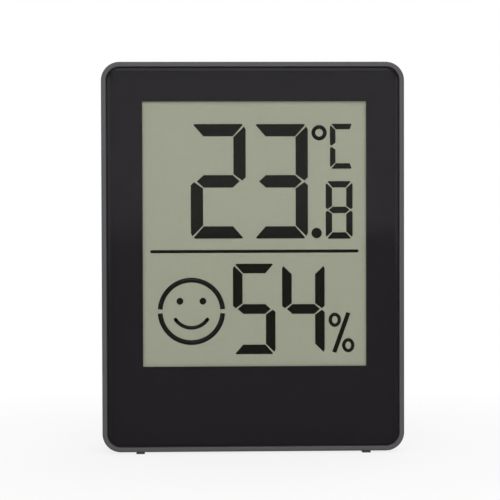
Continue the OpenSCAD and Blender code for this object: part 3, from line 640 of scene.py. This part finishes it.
FINISHES: dict[Slot | Mark, Finish] = {
    Slot.CASE: MouldedPlastic(
        "case_grained_plastic", (0.050, 0.050, 0.051),
        # the feet get a painted contact shadow
        roughness=0.44, rub_gain=0.12, shine=0.42, foot_shadow_height=0.00033,
    ),
    Slot.STAND: MouldedPlastic("stand_grained_plastic", (0.044, 0.044, 0.045), roughness=0.47),
    Slot.BUTTON: MouldedPlastic(
        "button_satin_plastic", (0.030, 0.030, 0.032), roughness=0.36, grain_depth=0.000004,
    ),
    Slot.WINDOW: ClearPane("window_hard_coat", (0.985, 0.985, 0.985)),
    Slot.INK: UnderPane("mask_screen_print", (0.0108, 0.0088, 0.0113), fleck_spread=0.06, cloud_spread=0.1),
    Slot.TAPE: CoatedFilm("mounting_tape", (0.70, 0.70, 0.66), roughness=0.6),
    Slot.FILM: UnderPane("display_film", (0.330, 0.345, 0.261), fleck_spread=0.03),
    Slot.GLASS: GlassPlate("display_glass", (0.85, 0.90, 0.87)),
    Slot.REFLECTOR: CoatedFilm("reflector_film", (0.50, 0.52, 0.45), roughness=0.4, fleck_spread=0.1),
    Slot.STRIP: MouldedPlastic("strip_rubber", (0.035, 0.035, 0.037), roughness=0.8, grain_size=0.00008),
    Slot.BOARD: MouldedPlastic("board_solder_mask", (0.02, 0.13, 0.05), roughness=0.4, tone_spread=0.2),
    Slot.SCREW: PlatedMetal("screw_zinc", (0.55, 0.55, 0.56), roughness=0.34),
    Slot.CAN: PlatedMetal("crystal_can", (0.60, 0.60, 0.60), roughness=0.3),
    Slot.CHIP: MouldedPlastic("chip_ceramic", (0.30, 0.22, 0.14), roughness=0.6, grain_size=0.00005),
    Slot.EPOXY: MouldedPlastic("cast_epoxy", (0.012, 0.012, 0.013), roughness=0.32, grain_depth=0.000003),
    Slot.WHITE: MouldedPlastic(
        "white_moulding", (0.75, 0.75, 0.72), roughness=0.45, tone_spread=0.03, rub_gain=0.05,
    ),
    Slot.CELL: PlatedMetal("cell_can", (0.62, 0.62, 0.61), roughness=0.28),
    Slot.CONTACT: PlatedMetal("contact_spring", (0.62, 0.60, 0.55), roughness=0.3),
    Slot.MAGNET: PlatedMetal("magnet_nickel", (0.66, 0.65, 0.63), roughness=0.2, cloud_spread=0.06),
    Mark.LIT: UnderPane("display_dark_mark", (0.0031, 0.0036, 0.0012), fleck_spread=0.1),
    Mark.PRINT: CoatedFilm("pad_print_grey", (0.42, 0.42, 0.42), roughness=0.55, fleck_spread=0.08),
}


class FinishRack:
    """The materials of the slots and the marks, each made once."""

    @cache
    def of(self, what: Slot | Mark) -> Material:
        """Gives a slot's or a mark's material, which is made the first time it is asked for."""
        return FINISHES[what].material()

    def dress_solids(self) -> None:
        """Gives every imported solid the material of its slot."""
        for row in frame["record"]["subparts"]:
            solid = frame["nodes"][row["node"]]
            made = self.of(Slot(row["material_slot"]))
            for place in solid.material_slots:
                place.material = made
            LOG.info("solid %s wears %s", solid.name, made.name)


class ShapeTree(Bench, Shared, ABC):
    """A Geometry Nodes tree with named inputs, turned into plain meshes."""

    name: str
    sizes: dict[str, str]  # the kind of each size input by name

    def __init__(self) -> None:
        """Builds the tree and its inputs."""
        super().__init__(bpy.data.node_groups.new(self.name, "GeometryNodeTree"))
        self.port("OUTPUT", "Shape", "Geometry")
        self.port("INPUT", "Seeds", "Geometry")
        kinds = {**self.sizes, "Finish": "Material"}
        self._ids = {label: self.port("INPUT", label, kind).identifier for label, kind in kinds.items()}
        takes = self.add("NodeGroupInput").outputs
        real = self.add("GeometryNodeRealizeInstances", {0: self.shape(takes)})
        worn = self.add("GeometryNodeSetMaterial", {0: real, "Material": takes["Finish"]})
        self.add("NodeGroupOutput", {0: worn})

    @abstractmethod
    def shape(self, takes: Any) -> Node:
        """Places the nodes that make the shape from the tree's inputs, and gives the last one."""

    def mesh(self, values: dict[str, Any], seeds: Mesh | None = None) -> Mesh:
        """Runs the tree once.

        Args:
            values: The inputs by name.
            seeds: The mesh that the tree starts from, or None for an empty one.

        Returns:
            The result as a plain mesh, in the plane of the drawing.
        """
        holder = in_scene(self.name, seeds or bpy.data.meshes.new(self.name))
        run = holder.modifiers.new(self.name, "NODES")
        run.node_group = self.tree
        for label, value in values.items():
            run[self._ids[label]] = value
        return plain_mesh(holder)


class PlateField(ShapeTree):
    """Flat plates, one on each outline that is drawn."""

    name = "plate_field"
    sizes = {"Depth": "Float"}

    def shape(self, takes: Any) -> Node:
        """Thickens the outlines and closes them underneath.

        Args:
            takes: The tree's input sockets.

        Returns:
            The plates.
        """
        drawn = takes["Seeds"]
        thick = self.add("GeometryNodeExtrudeMesh", {0: drawn, "Offset Scale": takes["Depth"]}, mode="FACES")
        under = self.add("GeometryNodeFlipFaces", {0: drawn})
        both = self.add("GeometryNodeJoinGeometry")
        for part in (thick, under):
            self.put(both.inputs[0], part)
        return self.add("GeometryNodeMergeByDistance", {0: both, "Distance": MERGE})


class StrokeArc(ShapeTree):
    """A stroke of even width along an arc or a closed ring."""

    name = "stroke_arc"
    sizes = {
        "Radius": "Float", "Tallness": "Float", "Start": "Float", "Sweep": "Float",
        "Closed": "Bool", "Stroke": "Float", "Depth": "Float", "Points": "Int",
    }

    def shape(self, takes: Any) -> Node:
        """Draws the path and pulls a flat profile along it.

        Args:
            takes: The tree's input sockets.

        Returns:
            The stroke.
        """
        ring = {"Resolution": takes["Points"], "Radius": takes["Radius"]}
        arc = {**ring, "Start Angle": takes["Start"], "Sweep Angle": takes["Sweep"]}
        paths = {
            0: takes["Closed"],
            "False": self.add("GeometryNodeCurveArc", arc, mode="RADIUS"),
            "True": self.add("GeometryNodeCurvePrimitiveCircle", ring, mode="RADIUS"),
        }
        path = self.add("GeometryNodeSwitch", paths, input_type="GEOMETRY")
        tall = self.add("ShaderNodeCombineXYZ", {0: 1.0, 1: takes["Tallness"], 2: 1.0})
        drawn = self.add("GeometryNodeTransform", {0: path, "Scale": tall})
        section = {"Width": takes["Stroke"], "Height": takes["Depth"]}
        profile = self.add("GeometryNodeCurvePrimitiveQuadrilateral", section, mode="RECTANGLE")
        pulled = {"Curve": drawn, "Profile Curve": profile, "Fill Caps": True}
        return self.add("GeometryNodeCurveToMesh", pulled)


class RibRow(ShapeTree):
    """A row of low ribs that taper at both ends."""

    name = "rib_row"
    sizes = {"Count": "Int", "Pitch": "Float", "Length": "Float", "Width": "Float", "Flatness": "Float"}
    points = 21  # points along a rib
    sides = 16  # sides of its section
    bluntness = 12.0  # how late its taper starts
    tip = 0.02  # what is left of its section at the ends, squared

    def shape(self, takes: Any) -> Node:
        """Makes one rib along a line and repeats it.

        Args:
            takes: The tree's input sockets.

        Returns:
            The ribs.
        """
        half = self.math("MULTIPLY", takes["Length"], 0.5)
        start = self.add("ShaderNodeCombineXYZ", {0: self.math("MULTIPLY", half, -1.0)})
        end = self.add("ShaderNodeCombineXYZ", {0: half})
        line = self.add("GeometryNodeCurvePrimitiveLine", {"Start": start, "End": end}, mode="POINTS")
        path = self.add("GeometryNodeResampleCurve", {0: line, "Count": self.points})
        along = self.add("GeometryNodeSplineParameter").outputs["Factor"]
        off = self.math("ABSOLUTE", self.math("MULTIPLY_ADD", along, 2.0, -1.0))
        fall = self.math("POWER", off, self.bluntness)
        ring = {"Resolution": self.sides, "Radius": self.math("MULTIPLY", takes["Width"], 0.5)}
        pulled = {
            "Curve": path,
            "Profile Curve": self.add("GeometryNodeCurvePrimitiveCircle", ring, mode="RADIUS"),
            "Scale": self.math("SQRT", self.math("SUBTRACT", 1 + self.tip, fall)),
            "Fill Caps": True,
        }
        bar = self.add("GeometryNodeCurveToMesh", pulled)
        low = self.add("ShaderNodeCombineXYZ", {0: 1.0, 1: 1.0, 2: takes["Flatness"]})
        rib = self.add("GeometryNodeTransform", {0: bar, "Scale": low})
        step = self.add("ShaderNodeCombineXYZ", {1: takes["Pitch"]})
        row = self.add("GeometryNodeMeshLine", {"Count": takes["Count"], "Offset": step}, mode="OFFSET")
        return self.add("GeometryNodeInstanceOnPoints", {"Points": row, "Instance": rib})


@dataclass
class Piece:
    """One new piece, gathered from flat drawings and set on a side of the part."""

    name: str
    side: Side
    finish: Material
    depth: float = 0.0  # thickness of what is drawn on it
    points: int = 64  # points along a stroke
    form: bmesh.types.BMesh = field(default_factory=bmesh.new)

    def lay(self, drawn: Mesh, at: Flat = (0.0, 0.0), lift: float = 0.0) -> None:
        """Adds a drawing.

        Args:
            drawn: Its mesh in the plane of the drawing.
            at: Where its origin goes in that plane.
            lift: How far it goes out of that plane.
        """
        drawn.transform(Matrix.Translation(Vector((*at, lift)) * MM))
        self.form.from_mesh(drawn)
        bpy.data.meshes.remove(drawn)

    def plates(self, outlines: list[Corners]) -> None:
        """Adds flat plates.

        Args:
            outlines: The corners of each, anticlockwise.
        """
        spots, faces = [], []
        for outline in outlines:
            faces.append(range(len(spots), len(spots) + len(outline)))
            spots += [(x * MM, z * MM, 0.0) for x, z in outline]
        seeds = bpy.data.meshes.new("outlines")
        seeds.from_pydata(spots, [], faces)
        self.lay(PlateField.shared().mesh({"Depth": self.depth * MM, "Finish": self.finish}, seeds))

    def stroke(self, at: Flat, size: Sizes, turn: Flat | None = None) -> None:
        """Adds an arc or a ring.

        Args:
            at: Its centre.
            size: Its radius, the width of its stroke and its height as a share of its width.
            turn: Its start and sweep in degrees, or None for a ring.
        """
        radius, width, tall = size
        start, sweep = turn or (0.0, 360.0)
        values = {
            "Radius": radius * MM,
            "Stroke": width * MM,
            "Tallness": tall,
            "Start": math.radians(start),
            "Sweep": math.radians(sweep),
            "Closed": turn is None,
            "Depth": self.depth * MM,
            "Points": self.points,
            "Finish": self.finish,
        }
        self.lay(StrokeArc.shared().mesh(values), at, self.depth / 2)

    def disc(self, centre: Flat, radius: float, sides: int = 40) -> None:
        """Adds a round dot with that number of sides."""
        self.plates([[polar(centre, radius, 360.0 * k / sides) for k in range(sides)]])

    def fix(self, body: str, out: float) -> bpy.types.Object:
        """Turns the piece to its side and makes it ride on a body.

        Args:
            body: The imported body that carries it.
            out: Where its plane lies along y.

        Returns:
            The finished piece.
        """
        turn = Matrix.Translation((0, out * MM, 0)) @ self.side.value
        bmesh.ops.transform(self.form, matrix=turn, verts=self.form.verts)
        bmesh.ops.recalc_face_normals(self.form, faces=self.form.faces)
        mesh = bpy.data.meshes.new(self.name)
        self.form.to_mesh(mesh)
        self.form.free()
        mesh.materials.clear()  # sets the faces' material numbers back too
        mesh.materials.append(self.finish)
        made = in_scene(self.name, mesh)
        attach(made, body)
        LOG.info("piece %s: %d faces, on %s", self.name, len(mesh.polygons), body)
        return made


@dataclass(frozen=True)
class BarGlyph:
    """One sign of the display, drawn with up to seven bars."""

    left: float
    bottom: float
    width: float
    height: float
    stroke: float  # width of a bar
    shown: str  # which bars are lit, by the usual letters from a to g
    open_right: bool = False  # the level bars end free on the right
    gap: float = 0.21  # between two bars

    def bars(self) -> list[Corners]:
        """Gives the lit bars, drawn from the sign's own lower left and set in its place.

        The factors are the bars' proportions, as shares of the stroke s and the gap g.

        Returns:
            Six corners for each, anticlockwise.
        """
        w, h, s, g, m = self.width, self.height, self.stroke, self.gap, self.height / 2
        tip, cut, inner = 0.75 * g + 0.15 * s, 0.08 * s + 0.02, s + 0.35 * g
        right, right_inner = (w, w - 0.34 * s) if self.open_right else (w - tip, w - inner)
        level = [
            (inner, h - s),
            (right_inner, h - s),
            (right, h - cut),
            (right - cut, h),
            (tip + cut, h),
            (tip, h - cut),
        ]
        drop = 1.05 * g + 0.08 * s
        upright = [
            (w - 0.28 * s, m + 0.55 * g),
            (w, m + 0.36 * g + 0.27 * s),
            (w, h - drop - 0.25 * s),
            (w - 0.13 * s, h - drop),
            (w - s, h - s - 0.6 * g),
            (w - s, m + 0.32 * g + 0.545 * s),
        ]
        tip, inner, low, high = 0.49 * s, s + 0.5 * g, m - 0.51 * s, m + 0.51 * s
        middle = [(tip, m), (inner, low), (w - inner, low), (w - tip, m), (w - inner, high), (inner, high)]
        drawn = {
            "a": level,
            "b": upright,
            "c": [(x, h - z) for x, z in reversed(upright)],
            "d": [(x, h - z) for x, z in reversed(level)],
            "e": [(w - x, h - z) for x, z in upright],
            "f": [(w - x, z) for x, z in reversed(upright)],
            "g": middle,
        }
        return [[(self.left + x, self.bottom + z) for x, z in drawn[letter]] for letter in self.shown]


@dataclass
class LitDisplay:
    """The dark marks that the display shows."""

    depth: float = 0.03
    glyphs: tuple[BarGlyph, ...] = (
        BarGlyph(-9.41, 32.58, 8.35, 17.38, 1.87, "abged"),
        BarGlyph(0.035, 32.56, 8.35, 17.38, 1.87, "abgcd"),
        BarGlyph(11.09, 32.51, 4.10, 8.75, 0.97, "abcdefg"),
        BarGlyph(11.755, 43.145, 3.29, 6.82, 0.83, "afed", open_right=True, gap=0.17),
        BarGlyph(-3.05, 14.975, 6.46, 13.77, 1.46, "afgcd"),
        BarGlyph(4.43, 14.94, 6.48, 13.77, 1.46, "fgbc"),
    )
    line: Sizes = (-15.65, 16.155, 30.63, 0.235)  # both ends, height and half width of the dividing line
    slash: tuple[Flat, Flat] = ((12.365, 15.205), (14.525, 21.235))  # ends of the percent sign's stroke
    slash_half: float = 0.33  # half its width
    point: Flat = (9.705, 33.375)
    point_radius: float = 0.79
    degree: Flat = (10.105, 48.615)
    degree_ring: Sizes = (0.872, 0.573, 1.0)  # radius, stroke and tallness
    percent: tuple[Flat, Flat] = ((12.45, 20.16), (14.50, 16.27))
    percent_ring: Sizes = (0.685, 0.52, 1.2)
    icon: Flat = (-9.365, 21.54)  # centre of the comfort sign
    icon_ring: Sizes = (4.75, 0.73, 1.0)
    icon_gap: float = 0.31  # half of each gap in that ring
    eye: Flat = (1.75, 1.55)  # from the centre
    eye_radius: float = 0.52
    mouth_rise: float = 0.45  # of the mouth's middle over the centre
    mouth: Sizes = (2.95, 0.56, 1.0)
    mouth_reach: float = 55.0  # half its sweep in degrees
    mouth_sides: int = 20  # of its round ends

    def build(self, rack: FinishRack) -> None:
        """Makes the digits, the signs and the comfort sign on the display's film.

        Args:
            rack: The finishes.
        """
        face = box_mm("lcd_front_polarizer")[0].y + SUNK
        drawings = {"lcd_digits": self._digits, "lcd_signs": self._signs, "lcd_comfort_sign": self._comfort}
        for name, draw in drawings.items():
            piece = Piece(name, Side.FRONT, rack.of(Mark.LIT), self.depth)
            draw(piece)
            piece.fix("housing", face)

    def _line_bar(self) -> Corners:
        """Gives the dividing line's corners."""
        a, b, z, h = self.line
        return [(a, z), (a + h, z - h), (b - h, z - h), (b, z), (b - h, z + h), (a + h, z + h)]

    def _slash_bar(self) -> Corners:
        """Gives the percent sign's stroke.

        Returns:
            Its corners, two at each end and two in the middle.
        """
        (ax, az), (bx, bz) = self.slash
        share = self.slash_half / math.hypot(bx - ax, bz - az)
        nx, nz = (bz - az) * share, (ax - bx) * share
        spine = ((ax, az), ((ax + bx) / 2, (az + bz) / 2), (bx, bz))
        return [(x + nx, z + nz) for x, z in spine] + [(x - nx, z - nz) for x, z in reversed(spine)]

    def _digits(self, piece: Piece) -> None:
        """Draws all bars: the digits, the dividing line and the percent sign's stroke."""
        bars = [bar for glyph in self.glyphs for bar in glyph.bars()]
        piece.plates([*bars, self._line_bar(), self._slash_bar()])

    def _signs(self, piece: Piece) -> None:
        """Draws the decimal point, the degree ring and the percent sign's rings.

        Args:
            piece: The piece to draw on.
        """
        piece.disc(self.point, self.point_radius)
        piece.stroke(self.degree, self.degree_ring)
        for centre in self.percent:
            piece.stroke(centre, self.percent_ring)

    def _comfort(self, piece: Piece) -> None:
        """Draws the split ring with its two dots and its arc.

        Args:
            piece: The piece to draw on.
        """
        x, z = self.icon
        gap = math.degrees(self.icon_gap / self.icon_ring[0])
        for start in (gap, 180.0 + gap):
            piece.stroke(self.icon, self.icon_ring, (start, 180.0 - 2 * gap))
        for side in (-1, 1):
            piece.disc((x + side * self.eye[0], z + self.eye[1]), self.eye_radius)
        centre, (bend, width, _) = (x, z + self.mouth_rise), self.mouth
        piece.stroke(centre, self.mouth, (270.0 - self.mouth_reach, 2 * self.mouth_reach))
        for side in (-1, 1):
            piece.disc(polar(centre, bend, 270.0 + side * self.mouth_reach), width / 2, self.mouth_sides)


@dataclass
class BackMarks:
    """The marks of the back: turning arrow, index marks and the unit button's sign."""

    arrow: Sizes = (8.3, 0.62, 1.0)  # radius, stroke and tallness of the door's arrow
    arrow_ends: Flat = (52.0, 118.0)  # seen from behind, in degrees
    head: Flat = (1.7, 0.95)  # length and half width
    raised: float = 0.09  # thickness of the arrow
    index_radius: float = 12.35  # of the index marks' circle round the door's axis
    index_turn: float = 40.0  # from the full mark to the open one, in degrees
    dot: float = 0.5  # radius of the full mark
    dot_sides: int = 24
    ring: Sizes = (0.4, 0.2, 1.0)  # radius, stroke and tallness of the open mark
    label: str = "°C/°F"
    label_height: float = 1.55
    label_drop: float = 4.4  # under the button's middle
    print_depth: float = 0.012
    points: int = 48  # along a stroke

    def build(self, rack: FinishRack) -> None:
        """Makes the door's arrow, the index marks and the button's sign.

        Args:
            rack: The finishes.
        """
        low, high = box_mm("battery_door")
        axis = (0.0, (low.z + high.z) / 2)
        arrow = Piece("door_turning_arrow", Side.BACK, rack.of(Slot.CASE), self.raised, self.points)
        radius, (start, end), (long, half) = self.arrow[0], self.arrow_ends, self.head
        arrow.stroke(axis, self.arrow, (start, end - start))
        spots = ((radius - half, end), (radius + half, end), (radius, end + math.degrees(long / radius)))
        arrow.plates([[polar(axis, *spot) for spot in spots]])
        arrow.fix("door", high.y - SUNK)

        pale, back = rack.of(Mark.PRINT), box_mm("rear_case")[1].y - SUNK
        marks = Piece("door_index_marks", Side.BACK, pale, self.print_depth, self.points)
        marks.disc((0.0, axis[1] + self.index_radius), self.dot, self.dot_sides)
        marks.stroke(polar(axis, self.index_radius, 90.0 + self.index_turn), self.ring)
        marks.fix("housing", back)
        self._sign(pale, back)

    def _sign(self, pale: Material, back: float) -> None:
        """Prints the unit button's sign under it.

        Args:
            pale: The print's material.
            back: Where the print's underside lies along y.
        """
        low, high = box_mm("unit_button")
        text = bpy.data.curves.new("unit_sign", "FONT")
        text.body, text.size = self.label, self.label_height * MM
        text.align_x, text.align_y = "CENTER", "CENTER"
        text.extrude = self.print_depth / 2 * MM
        sign = Piece("unit_button_sign", Side.BACK, pale, self.print_depth)
        centre = (-(low.x + high.x) / 2, (low.z + high.z) / 2 - self.label_drop)
        sign.lay(plain_mesh(in_scene("unit_sign", text)), centre, self.print_depth / 2)
        bmesh.ops.remove_doubles(sign.form, verts=sign.form.verts, dist=MERGE)
        sign.fix("housing", back)


@dataclass
class StandGrip:
    """The ribs that a thumb finds on the stand's bar."""

    count: int = 4
    pitch: float = 0.85
    length: float = 9.0
    width: float = 0.42
    flatness: float = 0.5  # height of a rib's section as a share of its width
    start: float = 2.35  # height of the lowest rib over the bar's underside

    def build(self, rack: FinishRack) -> None:
        """Makes the ribs and sets them on the stand.

        Args:
            rack: The finishes.
        """
        plastic = rack.of(Slot.STAND)
        low, high = box_mm("stand")
        values = {
            "Count": self.count,
            "Pitch": self.pitch * MM,
            "Length": self.length * MM,
            "Width": self.width * MM,
            "Flatness": self.flatness,
            "Finish": plastic,
        }
        ribs = Piece("stand_grip_ribs", Side.BACK, plastic)
        ribs.lay(RibRow.shared().mesh(values), (0.0, low.z + self.start))
        made = ribs.fix("prop", high.y)
        made.data.shade_smooth()


@dataclass(frozen=True)
class SoftLamp:
    """A square soft lamp."""

    name: str
    place: Sizes
    size: float
    share: float  # of full light, on what faces it

    def hang(self, aim: Vector) -> None:
        """Hangs the lamp, as strong as its share of full light asks.

        Args:
            aim: The point that it looks at.
        """
        spot = Vector(self.place)
        lamp = bpy.data.lights.new(self.name, "AREA")
        lamp.shape, lamp.size = "SQUARE", self.size
        lamp.energy = self.share * math.pi**2 * (spot - aim).length_squared
        made = in_scene(self.name, lamp)
        made.location = spot
        made.rotation_euler = (aim - spot).to_track_quat("-Z", "Y").to_euler()
        LOG.info("lamp %s: %.2f W", self.name, lamp.energy)


@dataclass
class Studio:
    """The floor, the soft lamps and the camera."""

    fill: float = 0.35  # light from all round, as a share of full light
    lamps: tuple[SoftLamp, ...] = (
        SoftLamp("front_lamp", (0.0, -1.30, 0.62), 1.60, 0.51),
        SoftLamp("high_lamp", (0.0, -0.82, 0.82), 0.60, 0.21),
        SoftLamp("left_lamp", (-0.73, -0.72, 0.14), 0.30, 0.07),
        SoftLamp("right_lamp", (0.78, -0.66, 0.14), 0.30, 0.06),
        SoftLamp("rear_lamp", (0.30, 1.05, 0.75), 0.80, 0.28),
    )
    lamp_aim: Sizes = (0.0, 0.0, 0.03)
    floor: Finish = PaleFloor("pale_floor", (0.86, 0.86, 0.86))
    floor_radius: float = 3.0
    floor_sides: int = 96
    yaw: float = -2.041  # the camera's turn to the right of the front, in degrees
    pitch: float = 1.718  # its height over the horizon, in degrees
    roll: float = -0.153  # in degrees
    distance: float = 0.32  # from its aim
    aim: Sizes = (-0.000500, -0.007, 0.030882)
    lens: float = 152.42  # focal length in millimetres
    sensor: float = 36.0  # width in millimetres
    clip: Flat = (0.01, 20.0)  # the nearest and the furthest that it sees

    def build(self) -> None:
        """Makes the camera, the floor, the surroundings and the lamps."""
        bpy.context.scene.view_settings.view_transform = "Standard"
        self._camera()
        self._floor()
        self._world()
        for lamp in self.lamps:
            lamp.hang(Vector(self.lamp_aim))

    def _camera(self) -> None:
        """Sets the camera at the photograph's viewing angle."""
        yaw, pitch = math.radians(self.yaw), math.radians(self.pitch)
        back = Vector((math.sin(yaw) * math.cos(pitch), -math.cos(yaw) * math.cos(pitch), math.sin(pitch)))
        lens = bpy.data.cameras.new("photo_camera")
        lens.lens, lens.sensor_width = self.lens, self.sensor
        lens.clip_start, lens.clip_end = self.clip
        made = in_scene("photo_camera", lens)
        made.location = Vector(self.aim) + back * self.distance
        turn = (-back).to_track_quat("-Z", "Y").to_matrix() @ Matrix.Rotation(math.radians(self.roll), 3, "Z")
        made.rotation_euler = turn.to_euler()
        bpy.context.scene.camera = made

    def _floor(self) -> None:
        """Lays the floor under the feet."""
        form = bmesh.new()
        bmesh.ops.create_circle(form, cap_ends=True, segments=self.floor_sides, radius=self.floor_radius)
        mesh = bpy.data.meshes.new("studio_floor")
        form.to_mesh(mesh)
        form.free()
        mesh.materials.append(self.floor.material())
        floor = in_scene("studio_floor", mesh)

    def _world(self) -> None:
        """Makes the white surroundings, dimmed where they light the object."""
        world = bpy.data.worlds.new("studio_white")
        world.use_nodes = True
        world.node_tree.nodes.clear()
        bench = Bench(world.node_tree)
        strength = bench.remap(bench.plain_sight(), UNIT, (self.fill, 1.0))
        sky = bench.add("ShaderNodeBackground", {"Color": WHITE, "Strength": strength})
        bench.add("ShaderNodeOutputWorld", {"Surface": sky})
        bpy.context.scene.world = world


def main() -> None:
    """Builds the studio, dresses the solids and adds the marks."""
    logging.basicConfig(level=logging.INFO, format="%(message)s")
    Studio().build()
    rack = FinishRack()
    rack.dress_solids()
    for part in (LitDisplay(), BackMarks(), StandGrip()):
        part.build(rack)
        LOG.info("%s done", type(part).__name__)


if __name__ == "__main__":
    main()
